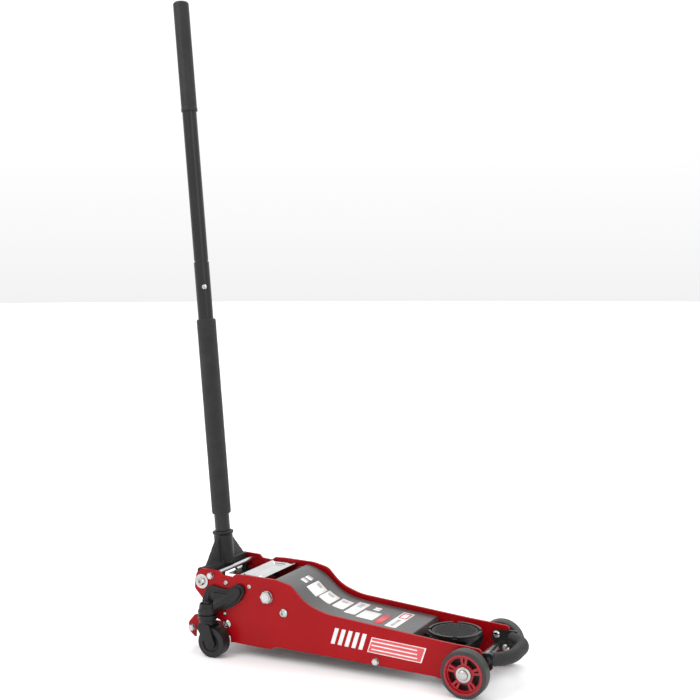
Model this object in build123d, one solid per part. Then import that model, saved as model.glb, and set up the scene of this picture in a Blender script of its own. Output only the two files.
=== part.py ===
"""Low-profile hydraulic trolley jack, modelled as an assembly of separate parts.

Millimetres. +X points to the lifting end, +Y to the left side, +Z up; the ground is z = 0 and the
origin lies under the middle of the overall box. Every part is built in its place with the jack
lowered and the handle upright.
"""
import math
import os

from build123d import *

# ---------------------------------------------------------------- chassis
GAP_HALF = 79.0            # half the clear width between the side plates
PLATE_T = 5.0
PLATE_OUT = GAP_HALF + PLATE_T
TIE_ROD_R = 5.0
TIE_RODS = [(-256.0, 160.0), (118.0, 34.0), (-302.0, 46.0)]   # (x, z) of the three cross rods

# ---------------------------------------------------------------- front axle and wheels
AXLE = (308.0, 45.0)       # x, z
AXLE_R = 8.0
TYRE_R = 45.0
RIM_R = 38.0
WHEEL_IN, WHEEL_OUT = 91.4, 117.5
HUB_R = 14.5
SPOKES = 5

# ---------------------------------------------------------------- rear casters
SWIVEL_X, SWIVEL_Y = -252.5, 104.0
TRAIL = 15.5
CASTER_R, CASTER_HALF = 30.5, 14.0
ARCH_R = 42.8
RACE_R = 19.6
KINGPIN_R = 6.0

# ---------------------------------------------------------------- lift arm and levelling linkage
ARM_PIVOT = (-123.0, 131.0)
SADDLE_PIVOT = (222.0, 58.0)
LINK_OFFSET = (38.0, -28.0)   # from each arm pivot to the matching level-link pivot
SHAFT_R = 10.0
CARRIER_PIN_R = 8.0
LINK_PIN_R = 6.0
ARM_IN, ARM_T = 62.0, 6.0
LINK_IN, LINK_T = 71.5, 5.0
COVER_HALF, COVER_T = 74.0, 3.0
CRANK_LENGTH, CRANK_PIN_R = 45.0, 7.0

# ---------------------------------------------------------------- saddle
SADDLE_X, SADDLE_TOP = 248.0, 91.0
SADDLE_R = 52.0
STEM_R = 11.0

# ---------------------------------------------------------------- hydraulic unit
RAM_Z = 89.0
RAM_R, CYLINDER_R, RESERVOIR_R = 11.0, 22.0, 34.0
PUMP_Z = 125.5
PLUNGER_R, BARREL_R = 7.0, 12.0
BLOCK_REAR, BLOCK_FRONT = -246.0, -208.0

# ---------------------------------------------------------------- yoke and handle
YOKE_PIVOT = (-278.0, 146.0)
LEAN = 4.745               # degrees the upright handle leans to the rear
HANDLE_U = 6.0             # handle axis ahead of the yoke pivot, measured square to the handle
TUBE_R, BORE_R = 16.0, 13.9
UPPER_R = 15.0
COLLAR_W, JOINT_W, TOP_W = 84.5, 660.0, 1207.0
FOAM_W = (126.0, 540.0)
GRIP_W = (977.0, TOP_W)
LOCK_W = 607.0

# ---------------------------------------------------------------- bumper
BUMPER_HALF, BUMPER_FRONT, BUMPER_BEND = 75.0, 376.0, 60.0
BUMPER_Z = 65.2
BUMPER_R, CORE_R = 13.0, 9.0
BUMPER_START = 338.0

FIT = 0.05                 # radial running clearance of every pin and shaft

PARTS = {}


# ---------------------------------------------------------------- helpers
def rod(start, end, radius):
    """Cylinder between two points."""
    along = Vector(*end) - Vector(*start)
    return Solid.make_cylinder(radius, along.length, Plane(origin=start, z_dir=along))


def rod_y(at, radius, y0, y1):
    """Cylinder parallel to Y at an (x, z) position."""
    return rod((at[0], y0, at[1]), (at[0], y1, at[1]), radius)


def rod_x(y, z, radius, x0, x1):
    return rod((x0, y, z), (x1, y, z), radius)


def rod_z(x, y, radius, z0, z1):
    return rod((x, y, z0), (x, y, z1), radius)


def block(x0, x1, y0, y1, z0, z1):
    """Box between two corners."""
    centre = ((x0 + x1) / 2, (y0 + y1) / 2, (z0 + z1) / 2)
    return Pos(*centre) * Box(x1 - x0, y1 - y0, z1 - z0)


def hexagon(at, across, y0, y1):
    """Hexagonal prism parallel to Y."""
    radius = across / math.sqrt(3)
    points = [(at[0] + radius * math.cos(math.radians(60 * i)), 0,
               at[1] + radius * math.sin(math.radians(60 * i))) for i in range(6)]
    return slab(Face(Wire.make_polygon(points, close=True)), y0, y1)


def outline(corners):
    """Face in the XZ plane from (x, z, corner radius) points joined by lines and arcs."""
    points = [Vector(x, 0, z) for x, z, _ in corners]
    edges, starts, ends = [], [], []
    for i, (_, _, radius) in enumerate(corners):
        here = points[i]
        arrive = (here - points[i - 1]).normalized()
        leave = (points[(i + 1) % len(points)] - here).normalized()
        half_turn = math.acos(max(-1.0, min(1.0, arrive.dot(leave)))) / 2
        reach = radius * math.tan(half_turn)
        starts.append(here - arrive * reach)
        ends.append(here + leave * reach)
        if reach > 0.01:
            inward = (leave - arrive).normalized()
            middle = here + inward * (radius / math.cos(half_turn) - radius)
            edges.append(Edge.make_three_point_arc(starts[i], middle, ends[i]))
    for i in range(len(points)):
        edges.append(Edge.make_line(ends[i - 1], starts[i]))
    return Face(Wire.combine(edges)[0])


def slab(face, y0, y1):
    """Extrude a face lying in the XZ plane from y0 to y1."""
    return extrude(Pos(0, y0, 0) * face, amount=y1 - y0, dir=(0, 1, 0))


def link_shape(a, b, radius_a, radius_b, y0, y1):
    """Flat lever with round ends about two (x, z) centres and straight tangent sides."""
    span = math.dist(a, b)
    heading = math.atan2(b[1] - a[1], b[0] - a[0])
    tilt = math.acos((radius_a - radius_b) / span)
    points = []
    for centre, radius in ((a, radius_a), (b, radius_b)):
        for side in (tilt, -tilt):
            angle = heading + side
            points.append((centre[0] + radius * math.cos(angle), 0, centre[1] + radius * math.sin(angle)))
    order = [points[0], points[1], points[3], points[2]]
    middle = slab(Face(Wire.make_polygon(order, close=True)), y0, y1)
    return middle + rod_y(a, radius_a, y0, y1) + rod_y(b, radius_b, y0, y1)


def lathe(profile, origin, direction):
    """Solid of revolution from (radius, height) points about an axis."""
    plane = Plane(origin=origin, z_dir=direction)
    points = [plane.from_local_coords(Vector(r, 0, h)) for r, h in profile]
    face = Face(Wire.make_polygon(points, close=True))
    return revolve(face, Axis(origin, direction), 360)


def coil(start, direction, radius, wire, turns, length):
    """Helical spring starting at a point and running along a direction."""
    plane = Plane(origin=start, z_dir=direction)
    path = plane.location * Edge.make_helix(length / turns, length, radius)
    section = Plane(origin=path @ 0, z_dir=path % 0) * Circle(wire / 2)
    return sweep(section, path=path, is_frenet=True)


def mirrored(shape):
    """The same shape on the other side of the centre plane."""
    return mirror(shape, about=Plane.XZ)


def both(shape):
    """A right-hand shape and its left-hand twin."""
    return [shape, mirrored(shape)]


def group(name, shapes):
    """Store several separate solids as one part."""
    solids = [solid for shape in shapes for solid in shape.solids()]
    PARTS[name] = Compound(solids)


def single(name, shape):
    """Store one solid as a part."""
    solids = shape.solids()
    PARTS[name] = solids[0] if len(solids) == 1 else Compound(solids)


def sided(name, right):
    """Store a right-hand shape (at -Y) and its left-hand twin as two parts."""
    single(name + "_right", right)
    single(name + "_left", mirrored(right))


def shifted(point, offset):
    return (point[0] + offset[0], point[1] + offset[1])


def bolt(at, head_r, head_t, shank_r, face_y, inner_y):
    """Button-head bolt entering the right plate from outside at face_y, ending at inner_y."""
    x, z = at
    head = lathe([(0, 0), (head_r, 0), (head_r, head_t * 0.45), (head_r * 0.72, head_t * 0.9),
                  (head_r * 0.4, head_t), (0, head_t)], (x, face_y, z), (0, -1, 0))
    socket = hexagon(at, head_r * 0.75, face_y - head_t - 1, face_y - head_t * 0.45)
    return head - socket + rod_y(at, shank_r, face_y, inner_y)


# ---------------------------------------------------------------- chassis parts
FRAME_LINK_PIVOT = shifted(ARM_PIVOT, LINK_OFFSET)
CARRIER_LINK_PIVOT = shifted(SADDLE_PIVOT, LINK_OFFSET)
BUMPER_BOLTS = [(307.5, 69.0), (327.0, 44.0)]
UNIT_BOLTS = [((-223.0, 85.5), 4.5, 3.0), ((-217.0, 64.0), 8.5, 5.0)]      # centre, head, shank
COVER_SCREWS = [((-220.0, 149.0), 4.8, 3.0), ((-165.0, 147.0), 4.5, 3.0)]
BRACKET_BOLTS = [(-262.0, 122.0), (-193.0, 132.0)]


def side_plate():
    """Long cheek with a raised rear hump, a wheel arch over the caster and a rear ear."""
    corners = [
        (-291, 163, 6), (-278, 172.7, 10), (-237, 171, 3), (-230, 164, 3), (-206, 162, 3),
        (-198, 168.2, 4), (-174, 169.4, 20), (-104, 167.6, 30), (-70, 160, 26), (-38, 127.5, 90),
        (8, 112.3, 120), (250, 91.6, 60), (331, 86.5, 8), (333, 66, 4), (324, 27, 8), (304, 17, 10),
        (262, 17, 20), (240, 22.4, 20), (32, 28.3, 0), (-104, 31, 3), (-113, 26, 5), (-126, 24.4, 10),
        (-207, 27.2, 3), (-252.5, 27.2, 0), (-297, 27.2, 2), (-311, 38, 8), (-312, 56, 8),
        (-297.5, 73, 5), (-286, 76, 8), (-275, 95, 8), (-277, 110, 6), (-296, 130, 8), (-295, 148, 8)]
    plate = slab(outline(corners), -PLATE_OUT, -GAP_HALF)
    arch = rod_y((SWIVEL_X, CASTER_R), ARCH_R, -PLATE_OUT - 1, -GAP_HALF + 1)
    plate = plate - arch
    holes = [(YOKE_PIVOT, 8.0), (ARM_PIVOT, SHAFT_R), (FRAME_LINK_PIVOT, LINK_PIN_R), (AXLE, AXLE_R)]
    holes += [(at, 4.0) for at in TIE_RODS + BUMPER_BOLTS + BRACKET_BOLTS]
    holes += [(at, shank) for at, _, shank in UNIT_BOLTS + COVER_SCREWS]
    for at, radius in holes:
        plate = plate - rod_y(at, radius + FIT, -PLATE_OUT - 1, -GAP_HALF + 1)
    return plate


def tie_rod(at):
    """Cross rod with thinner threaded ends through both plates."""
    body = rod_y(at, TIE_ROD_R, -GAP_HALF, GAP_HALF)
    return body + rod_y(at, 4.0, -PLATE_OUT - 7, PLATE_OUT + 7)


def tie_rod_nut(at):
    """Domed nut outside the right plate."""
    washer = rod_y(at, 7.0, -PLATE_OUT - 1.2, -PLATE_OUT)
    nut = hexagon(at, 12.0, -PLATE_OUT - 6.5, -PLATE_OUT - 1.2)
    return washer + nut - rod_y(at, 4.0 + FIT, -PLATE_OUT - 8, -PLATE_OUT)


def shaft_nut():
    """Washer and nut on the end of the arm shaft."""
    washer = rod_y(ARM_PIVOT, 13.0, -PLATE_OUT - 2, -PLATE_OUT)
    nut = hexagon(ARM_PIVOT, 22.0, -PLATE_OUT - 8, -PLATE_OUT - 2)
    return washer + nut - rod_y(ARM_PIVOT, 8.0 + FIT, -PLATE_OUT - 9, -PLATE_OUT)


def arm_shaft():
    body = rod_y(ARM_PIVOT, SHAFT_R, -PLATE_OUT, PLATE_OUT)
    return body + rod_y(ARM_PIVOT, 8.0, -PLATE_OUT - 9, PLATE_OUT + 9)


def level_stud():
    """Shouldered stud that carries the rear end of a level link."""
    at = FRAME_LINK_PIVOT
    stud = bolt(at, 9.0, 6.0, LINK_PIN_R, -PLATE_OUT, -LINK_IN + 0.3)
    return stud + rod_y(at, 9.0, -LINK_IN + 0.3, -LINK_IN + 2.5)


def yoke_bolt():
    """Pivot bolt of one yoke ear with its large washer."""
    washer = rod_y(YOKE_PIVOT, 15.0, -PLATE_OUT - 2, -PLATE_OUT)
    return washer + bolt(YOKE_PIVOT, 8.5, 7.0, 8.0, -PLATE_OUT - 2, -62.5)


def axle_cap():
    """Spacer behind the wheel and bright retaining cap in front of it."""
    x, z = AXLE
    spacer = rod_y(AXLE, 12.0, -91.0, -PLATE_OUT) - rod_y(AXLE, AXLE_R + FIT, -92, -80)
    cap = lathe([(0, 0), (14.0, 0), (14.5, 0.6), (14.5, 2.6), (10.0, 3.4), (9.0, 6.4), (6.0, 8.2), (0, 8.8)],
                (x, -112.6, z), (0, -1, 0))
    return [spacer, cap - rod_y(AXLE, AXLE_R + FIT, -117.0, -110)]


def bumper_path(start):
    """U-shaped centre line of the bumper from one side plate round to the other."""
    corner_x = BUMPER_FRONT - BUMPER_BEND
    flat = BUMPER_HALF - BUMPER_BEND
    first = math.asin((start - corner_x) / BUMPER_BEND)

    def on_bend(angle, side):
        return (corner_x + BUMPER_BEND * math.sin(angle),
                side * (flat + BUMPER_BEND * math.cos(angle)), BUMPER_Z)

    middle = (first + math.pi / 2) / 2
    return Wire([
        Edge.make_three_point_arc(on_bend(first, -1), on_bend(middle, -1), on_bend(math.pi / 2, -1)),
        Edge.make_line(on_bend(math.pi / 2, -1), on_bend(math.pi / 2, 1)),
        Edge.make_three_point_arc(on_bend(math.pi / 2, 1), on_bend(middle, 1), on_bend(first, 1))])


def bent_bar(radius, start):
    path = bumper_path(start)
    section = Plane(origin=path @ 0, z_dir=path % 0) * Circle(radius)
    return sweep(section, path=path)


def bumper_tab():
    """Flat bracket welded to the end of the bumper core, inside the right plate."""
    top, low = BUMPER_BOLTS
    corners = [(top[0] - 9, top[1] + 8, 6), (352, 80, 6), (352, 52, 6), (low[0] + 8, 35, 6),
               (low[0] - 10, 35, 6), (top[0] - 9, 58, 6)]
    tab = slab(outline(corners), -GAP_HALF, -GAP_HALF + 6)
    tab = tab - rod_y(AXLE, AXLE_R + 0.5, -80, -72)
    for at in BUMPER_BOLTS:
        tab = tab - rod_y(at, 4.0 + FIT, -80, -72)
    return tab


def bumper_bolt(at):
    """Button-head bolt from the inside with a nut outside the right plate."""
    x, z = at
    head = lathe([(0, 0), (7.5, 0), (7.5, 2.0), (5.0, 4.4), (0, 5.0)], (x, -GAP_HALF + 6, z), (0, 1, 0))
    shank = rod_y(at, 4.0, -PLATE_OUT - 4.5, -GAP_HALF + 6)
    nut = hexagon(at, 11.0, -PLATE_OUT - 4.5, -PLATE_OUT)
    return head + shank + nut


def cover_plate():
    """Bright pressed lid over the hydraulic unit, between the plates."""
    top, thick = 163.3, 1.6
    rear, front, half = -200.0, -145.0, 78.4
    lid = block(rear, front, -half, half, top - thick, top)
    slope = [(rear + 0.4, 0, top), (rear - 17, 0, top - 13), (rear - 17, 0, top - 13 - thick * 1.3),
             (rear + 0.4, 0, top - thick)]
    skirt = slab(Face(Wire.make_polygon(slope, close=True)), -half, half)
    panel = block(rear + 7, front - 7, -62, 62, top - 0.01, top + 1.6)
    panel = chamfer(panel.faces().sort_by(Axis.Z)[-1].edges(), 1.4)
    ears = [block(-172, -158, y0, y0 + 1.6, 139, top - 0.5) for y0 in (-half, half - 1.6)]
    lid = lid + skirt + panel + ears[0] + ears[1]
    for at, _, shank in COVER_SCREWS[1:]:
        lid = lid - rod_y(at, shank + FIT, -80, 80)
    return lid


LID_SLOPE = Vector(-13, 0, 17).normalized()      # outward direction of the lid's sloping rear flange


def cover_screw(y):
    """Small round-head screw on the sloping rear flange of the lid."""
    return lathe([(0, 0), (4.0, 0), (3.6, 1.6), (2.0, 2.4), (0, 2.6)], (-209.0, y, 156.42), LID_SLOPE)


def rear_shroud():
    """Black sheet between the plates that closes the pump compartment behind the lid."""
    sheet = block(-257, -205, -GAP_HALF, GAP_HALF, 139, 140.5) + block(-276, -256, -63, 63, 139, 140.5)
    sheet = sheet - rod_z(-236, 26, 9.0, 130, 150) - block(-280, -247, -15, 15, 130, 150)
    flanges = [block(-250, -210, y0, y0 + 1.6, 128, 140) for y0 in (-GAP_HALF, GAP_HALF - 1.6)]
    return sheet + flanges[0] + flanges[1]


def caster_guard():
    """Inner wall behind the wheel arch, carried by the rear tie rod and the pump block's lug."""
    wall = slab(outline([(-311, 57.5, 8), (-206, 57.5, 0), (-206, 29, 4), (-311, 29, 8)]), -55, -52)
    tab = block(-230, -208, -75, -52, 57, 58.5)
    return wall + tab - rod_y(TIE_RODS[2], TIE_ROD_R + FIT, -60, -50)


def unit_block():
    """Machined pump block with lugs bolted between the side plates."""
    body = block(BLOCK_REAR, BLOCK_FRONT, -40, 40, 54, 118)
    body = chamfer(body.edges().filter_by(Axis.X), 4)
    lugs = block(-232, BLOCK_FRONT, -GAP_HALF, GAP_HALF, 58.5, 98)
    body = body + lugs
    body = body - rod_x(0, RAM_Z, CYLINDER_R + FIT, -260, -200)
    body = body - rod_x(0, PUMP_Z, BARREL_R + FIT, -260, -200)
    body = body - rod_z(-236, 26, 6.0 + FIT, 98, 120)
    for at, _, shank in UNIT_BOLTS:
        body = body - rod_y(at, shank + FIT, -80, -55) - rod_y(at, shank + FIT, 55, 80)
    return body


def reservoir():
    """Oil tank drum around the ram cylinder."""
    drum = rod_x(0, RAM_Z, RESERVOIR_R, BLOCK_FRONT, -168) - rod_x(0, RAM_Z, RESERVOIR_R - 3, BLOCK_FRONT, -171)
    drum = drum - rod_x(0, RAM_Z, CYLINDER_R + FIT, -180, -160)
    return drum - rod_z(-190, 0, 5.0 + FIT, 110, 130)


def ram_cylinder():
    """Blind steel cylinder that guides the ram."""
    body = rod_x(0, RAM_Z, CYLINDER_R, -254, -165)
    return body - rod_x(0, RAM_Z, RAM_R + FIT, -250, -160)


def pump_barrel():
    body = rod_x(0, PUMP_Z, BARREL_R, BLOCK_REAR - 1, BLOCK_FRONT - 0.5)
    return body - rod_x(0, PUMP_Z, PLUNGER_R + FIT, -260, -212)


def filler_plug():
    head = rod_z(-190, 0, 8.0, RAM_Z + RESERVOIR_R, 127.5)
    neck = rod_z(-190, 0, 5.0, 116, RAM_Z + RESERVOIR_R)
    return head + neck - block(-197, -183, -0.8, 0.8, 126.0, 128)


def caster_bracket():
    """Casting on the outside of the right plate that carries the caster kingpin."""
    y = -SWIVEL_Y
    flange = slab(outline([
        (-264, 135, 6), (-250, 142.5, 7), (-232, 138, 12), (-212, 137, 16), (-193, 150, 12),
        (-176, 150, 12), (-173, 134, 14), (-184, 116, 12), (-203, 102, 14), (-226, 91.5, 6),
        (-270, 91.5, 4), (-275, 106, 10)]), -PLATE_OUT - 7, -PLATE_OUT)
    raised = outline([
        (-258, 130, 8), (-238, 129, 10), (-212, 129, 10), (-194, 144, 5), (-180, 144, 5),
        (-179, 132, 5), (-191, 117, 8), (-208, 105, 8), (-230, 94, 6), (-262, 94, 6)])
    boss = slab(raised, -PLATE_OUT - 14, -PLATE_OUT - 6.9)
    hub = lathe([(0, 88), (RACE_R, 88), (RACE_R, 93.5), (RACE_R - 1, 95), (17.5, 98), (16.0, 108), (0, 108)],
                (SWIVEL_X, y, 0), (0, 0, 1))
    shelf = block(-268, -236, y, -PLATE_OUT - 3, 89, 104)
    root = [(-240, 94), (-214, 102), (-194, 119), (-196, 136), (-222, 123), (-240, 118)]
    tip = [(-252, 92), (-244, 92), (-239, 97), (-239, 102), (-243, 105), (-252, 105)]
    arm = Solid.make_loft([Wire.make_polygon([(x, depth, z) for x, z in line], close=True)
                           for line, depth in ((root, -PLATE_OUT - 12), (tip, y - 4))], ruled=True)
    body = flange + boss + hub + shelf + arm
    body = body - rod_z(SWIVEL_X, y, 12.8, 102, 150)
    body = body - rod_z(SWIVEL_X, y, KINGPIN_R + FIT, 80, 120)
    for at in BRACKET_BOLTS:
        body = body - rod_y(at, 4.0 + FIT, -PLATE_OUT - 6.1, -PLATE_OUT + 1)
    return body


def bracket_bolt(at):
    """Hexagon screw from inside the plate into the bracket's blind thread."""
    return hexagon(at, 12.0, -GAP_HALF, -GAP_HALF + 5.5) + rod_y(at, 4.0, -PLATE_OUT - 6, -GAP_HALF)


def kingpin():
    """Caster kingpin: bolt head under the fork crown, nut in the bracket recess."""
    y = -SWIVEL_Y
    head = rod_z(SWIVEL_X, y, 9.0, 61.5, 65.5)
    shank = rod_z(SWIVEL_X, y, KINGPIN_R, 65.5, 112)
    nut = Pos(0, y, 102) * extrude(Plane.XY * Pos(SWIVEL_X, 0) * RegularPolygon(11.0, 6), 7)
    return head + shank + nut


# ---------------------------------------------------------------- caster fork and wheel
def caster_fork():
    """Swivelling fork with its lower race and riveted wheel pin."""
    y = -SWIVEL_Y
    wheel_x = SWIVEL_X + TRAIL
    crown = rod_z(SWIVEL_X, y, 17.5, 66, 75) + rod_z(SWIVEL_X, y, 16.0, 85, 87.7)
    crown = crown + lathe([(0, 75), (RACE_R - 1, 75), (RACE_R, 76), (RACE_R, 79), (RACE_R - 0.8, 79.6),
                           (RACE_R - 0.8, 80.4), (RACE_R, 81), (RACE_R, 84), (RACE_R - 1, 85), (0, 85)],
                          (SWIVEL_X, y, 0), (0, 0, 1))
    legs = None
    for side in (-1, 1):
        inner, outer = sorted((y + side * (CASTER_HALF + 1.2), y + side * (CASTER_HALF + 4.7)))
        leg = slab(outline([(SWIVEL_X - 14, 69, 8), (SWIVEL_X + 14, 69, 8), (wheel_x + 11.5, CASTER_R, 0),
                            (wheel_x - 11.5, CASTER_R, 0), (SWIVEL_X - 14, 58, 3)]), inner, outer)
        leg = leg + rod_y((wheel_x, CASTER_R), 11.5, inner, outer)
        legs = leg if legs is None else legs + leg
    bridge = block(SWIVEL_X - 12, SWIVEL_X + 12, y - 16, y + 16, 66, 69)
    pin = rod_y((wheel_x, CASTER_R), 4.5, y - CASTER_HALF - 6.2, y + CASTER_HALF + 6.2)
    fork = crown + legs + bridge + pin
    return fork - rod_z(SWIVEL_X, y, KINGPIN_R + FIT, 60, 95)


def caster_wheel():
    """Solid wheel with a rounded tread and recessed faces."""
    r, w = CASTER_R, CASTER_HALF
    half = [(4.5 + FIT, w + 0.9), (8.0, w + 0.9), (8.0, w - 3), (17.0, w - 3), (19.0, w), (r - 2.2, w),
            (r - 0.7, w - 0.8), (r, w - 2.4)]
    profile = half + [(rad, -h) for rad, h in reversed(half)]
    return lathe(profile, (SWIVEL_X + TRAIL, -SWIVEL_Y, CASTER_R), (0, 1, 0))


# ---------------------------------------------------------------- front wheel
def window(inner, outer, middle, half, y0, y1):
    """Cutter for an annular opening in the wheel web; angles in degrees about the axle."""
    def at(radius, angle):
        turn = math.radians(angle)
        return Vector(AXLE[0] + radius * math.cos(turn), 0, AXLE[1] + radius * math.sin(turn))

    low, high = middle - half, middle + half
    spread = half * outer / inner * 0.55
    edges = [Edge.make_three_point_arc(at(outer, low), at(outer, middle), at(outer, high)),
             Edge.make_line(at(outer, high), at(inner, middle + spread)),
             Edge.make_three_point_arc(at(inner, middle + spread), at(inner, middle), at(inner, middle - spread)),
             Edge.make_line(at(inner, middle - spread), at(outer, low))]
    return slab(Face(Wire(edges)), y0, y1)


def front_rim():
    """Dished rim with five double spokes."""
    x, z = AXLE
    depth = WHEEL_OUT - WHEEL_IN
    rim = lathe([(RIM_R - 4, 0), (RIM_R, 0), (RIM_R, depth), (RIM_R - 4, depth), (RIM_R - 5.5, depth - 3),
                 (RIM_R - 5.5, 3)], (x, -WHEEL_IN, z), (0, -1, 0))
    web = lathe([(AXLE_R + FIT, 0), (HUB_R, 0), (HUB_R, 14), (RIM_R - 5, 15), (RIM_R - 5, 21.5),
                 (HUB_R + 2, 20), (HUB_R, 20.7), (AXLE_R + FIT, 20.7)], (x, -WHEEL_IN, z), (0, -1, 0))
    for i in range(SPOKES):
        angle = 54 + 72 * i
        web = web - window(18.5, 31.0, angle, 22.5, -WHEEL_OUT - 1, -WHEEL_IN + 1)
        web = web - window(21.0, 30.0, angle + 36, 3.6, -WHEEL_OUT - 1, -WHEEL_IN + 1)
    return rim + web


def front_tyre():
    """Tyre moulded on the rim, and the dark dust disc of the same material behind the spokes."""
    x, z = AXLE
    depth = WHEEL_OUT - WHEEL_IN
    tyre = lathe([(RIM_R + FIT, 0), (TYRE_R - 3, 0), (TYRE_R - 0.8, 1.2), (TYRE_R, 4), (TYRE_R, depth - 4),
                  (TYRE_R - 0.8, depth - 1.2), (TYRE_R - 3, depth), (RIM_R + FIT, depth)],
                 (x, -WHEEL_IN, z), (0, -1, 0))
    disc = rod_y(AXLE, RIM_R - 5.5 - FIT, -WHEEL_IN - 5.5, -WHEEL_IN - 3.5)
    return [tyre, disc - rod_y(AXLE, HUB_R + FIT, -WHEEL_IN - 6, -WHEEL_IN - 3)]


# ---------------------------------------------------------------- lift arm
COVER_LINE = [(-116, 162.6), (-105, 161.4), (-92, 157.6), (-82, 153.6), (-70, 147.5), (-57, 137.0), (-34, 119.2), (4, 105.4),
              (41, 100.6), (126, 93.3), (178, 88.9)]


def cover_curve(depth):
    """Smooth line parallel to the arm cover's upper skin at a depth below it."""
    points = []
    for i, (x, z) in enumerate(COVER_LINE):
        x0, z0 = COVER_LINE[max(i - 1, 0)]
        x1, z1 = COVER_LINE[min(i + 1, len(COVER_LINE) - 1)]
        length = math.hypot(x1 - x0, z1 - z0)
        points.append(Vector(x + depth * (z1 - z0) / length, 0, z - depth * (x1 - x0) / length))
    return points


def arm_cover():
    """Pressed cover that follows the hump, with a lip at the front and short side flanges."""
    top, under = cover_curve(0), cover_curve(COVER_T)
    deep = cover_curve(9.0)

    def strip(lower):
        upper_edge = Edge.make_spline(top)
        lower_edge = Edge.make_spline(lower[::-1])
        return Face(Wire([upper_edge, Edge.make_line(top[-1], lower[-1]), lower_edge,
                          Edge.make_line(lower[0], top[0])]))

    skin = slab(strip(under), -COVER_HALF, COVER_HALF)
    flanges = [slab(strip(deep), y0, y0 + COVER_T) for y0 in (-COVER_HALF, COVER_HALF - COVER_T)]
    lip = slab(outline([(177, 88.98, 0), (181, 88.6, 2.5), (186, 76, 0), (183, 75, 0), (177, 85.9, 0)]),
               -COVER_HALF, COVER_HALF)
    return skin + flanges[0] + flanges[1] + lip


def arm_plate():
    """Side plate of the lift arm from the shaft to the saddle pivot."""
    under = cover_curve(COVER_T + 0.5)[1:]
    bottom = [Vector(178, 0, 76), Vector(226, 0, 72.4), Vector(219, 0, 43.3), Vector(-128, 0, 104),
              Vector(-104, 0, 148)]
    edges = [Edge.make_spline(under), Edge.make_line(under[-1], bottom[0])]
    edges += [Edge.make_line(bottom[i], bottom[i + 1]) for i in range(len(bottom) - 1)]
    edges.append(Edge.make_line(bottom[-1], under[0]))
    y0, y1 = -ARM_IN - ARM_T, -ARM_IN
    plate = slab(Face(Wire(edges)), y0, y1)
    plate = plate + rod_y(ARM_PIVOT, 28.0, y0, y1) + rod_y(SADDLE_PIVOT, 15.0, y0, y1) - arm_cover()
    plate = plate - rod_y(ARM_PIVOT, SHAFT_R + FIT, y0 - 1, y1 + 1)
    return plate - rod_y(SADDLE_PIVOT, CARRIER_PIN_R + FIT, y0 - 1, y1 + 1)


CRANK_ANGLE = math.radians(30)
CRANK_PIN = (ARM_PIVOT[0] - CRANK_LENGTH * math.sin(CRANK_ANGLE),
             ARM_PIVOT[1] - CRANK_LENGTH * math.cos(CRANK_ANGLE))


def crank_plate():
    """Lever plate on the arm hub that the ram pushes."""
    plate = link_shape(ARM_PIVOT, CRANK_PIN, 24.0, 12.5, -26, -18)
    plate = plate - rod_y(ARM_PIVOT, 17.0 + FIT, -30, -10)
    return plate - rod_y(CRANK_PIN, CRANK_PIN_R + FIT, -30, -10)


def carrier_pin():
    pin = rod_y(SADDLE_PIVOT, CARRIER_PIN_R, -70, 70)
    ends = [rod_y(SADDLE_PIVOT, 10.5, y0, y0 + 2.4) for y0 in (-70.4, 68.0)]
    return pin + ends[0] + ends[1]


# ---------------------------------------------------------------- saddle group
def saddle_carrier():
    """Casting that stays level: two cheeks, a bridge and the saddle socket."""
    cheek = slab(outline([(226, 76, 4), (286, 76, 6), (286, 60, 10), (272, 30, 0), (260, 30, 0), (222, 50, 0),
                          (214, 60, 0)]), -58, -50)
    cheek = cheek + rod_y(SADDLE_PIVOT, 14.0, -58, -50) + rod_y(CARRIER_LINK_PIVOT, 12.0, -58, -50)
    cheek = cheek - rod_y(SADDLE_PIVOT, CARRIER_PIN_R + FIT, -60, -48)
    cheek = cheek - rod_y(CARRIER_LINK_PIVOT, LINK_PIN_R + FIT, -60, -48)
    bridge = block(230, 284, -58, 58, 67.5, 76)
    socket = rod_z(SADDLE_X, 0, 17.0, 46, 76)
    body = cheek + mirrored(cheek) + bridge + socket
    return body - rod_z(SADDLE_X, 0, STEM_R + FIT, 40, 80)


def saddle_cup():
    """Round cup with four raised lip segments and a stem underneath."""
    base = 77.5
    cup = lathe([(0, 0), (SADDLE_R - 5, 0), (SADDLE_R - 2, 3), (SADDLE_R, 7), (SADDLE_R, 13.5),
                 (SADDLE_R - 5, 13.5), (SADDLE_R - 6, 6), (0, 6)], (SADDLE_X, 0, base), (0, 0, 1))
    for angle in (0, 90):
        notch = Pos(SADDLE_X, 0, base + 12) * Rot(0, 0, angle + 20) * Box(2 * SADDLE_R + 4, 9, 5)
        cup = cup - notch
    return cup + rod_z(SADDLE_X, 0, STEM_R, 42, base + 1)


def saddle_pad():
    """Rubber pad pressed into the cup, level with the lips."""
    return rod_z(SADDLE_X, 0, SADDLE_R - 7, 83.5, SADDLE_TOP)


# ---------------------------------------------------------------- level links
def level_link():
    y0, y1 = -LINK_IN - LINK_T, -LINK_IN
    bar = link_shape(FRAME_LINK_PIVOT, CARRIER_LINK_PIVOT, 11.0, 10.0, y0, y1)
    window_cut = link_shape(shifted(FRAME_LINK_PIVOT, (24, -5)), shifted(CARRIER_LINK_PIVOT, (-24, 5)),
                            4.0, 4.0, y0 - 1, y1 + 1)
    bar = bar - window_cut
    bar = bar - rod_y(FRAME_LINK_PIVOT, LINK_PIN_R + FIT, y0 - 1, y1 + 1)
    return bar - rod_y(CARRIER_LINK_PIVOT, LINK_PIN_R + FIT, y0 - 1, y1 + 1)


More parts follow.
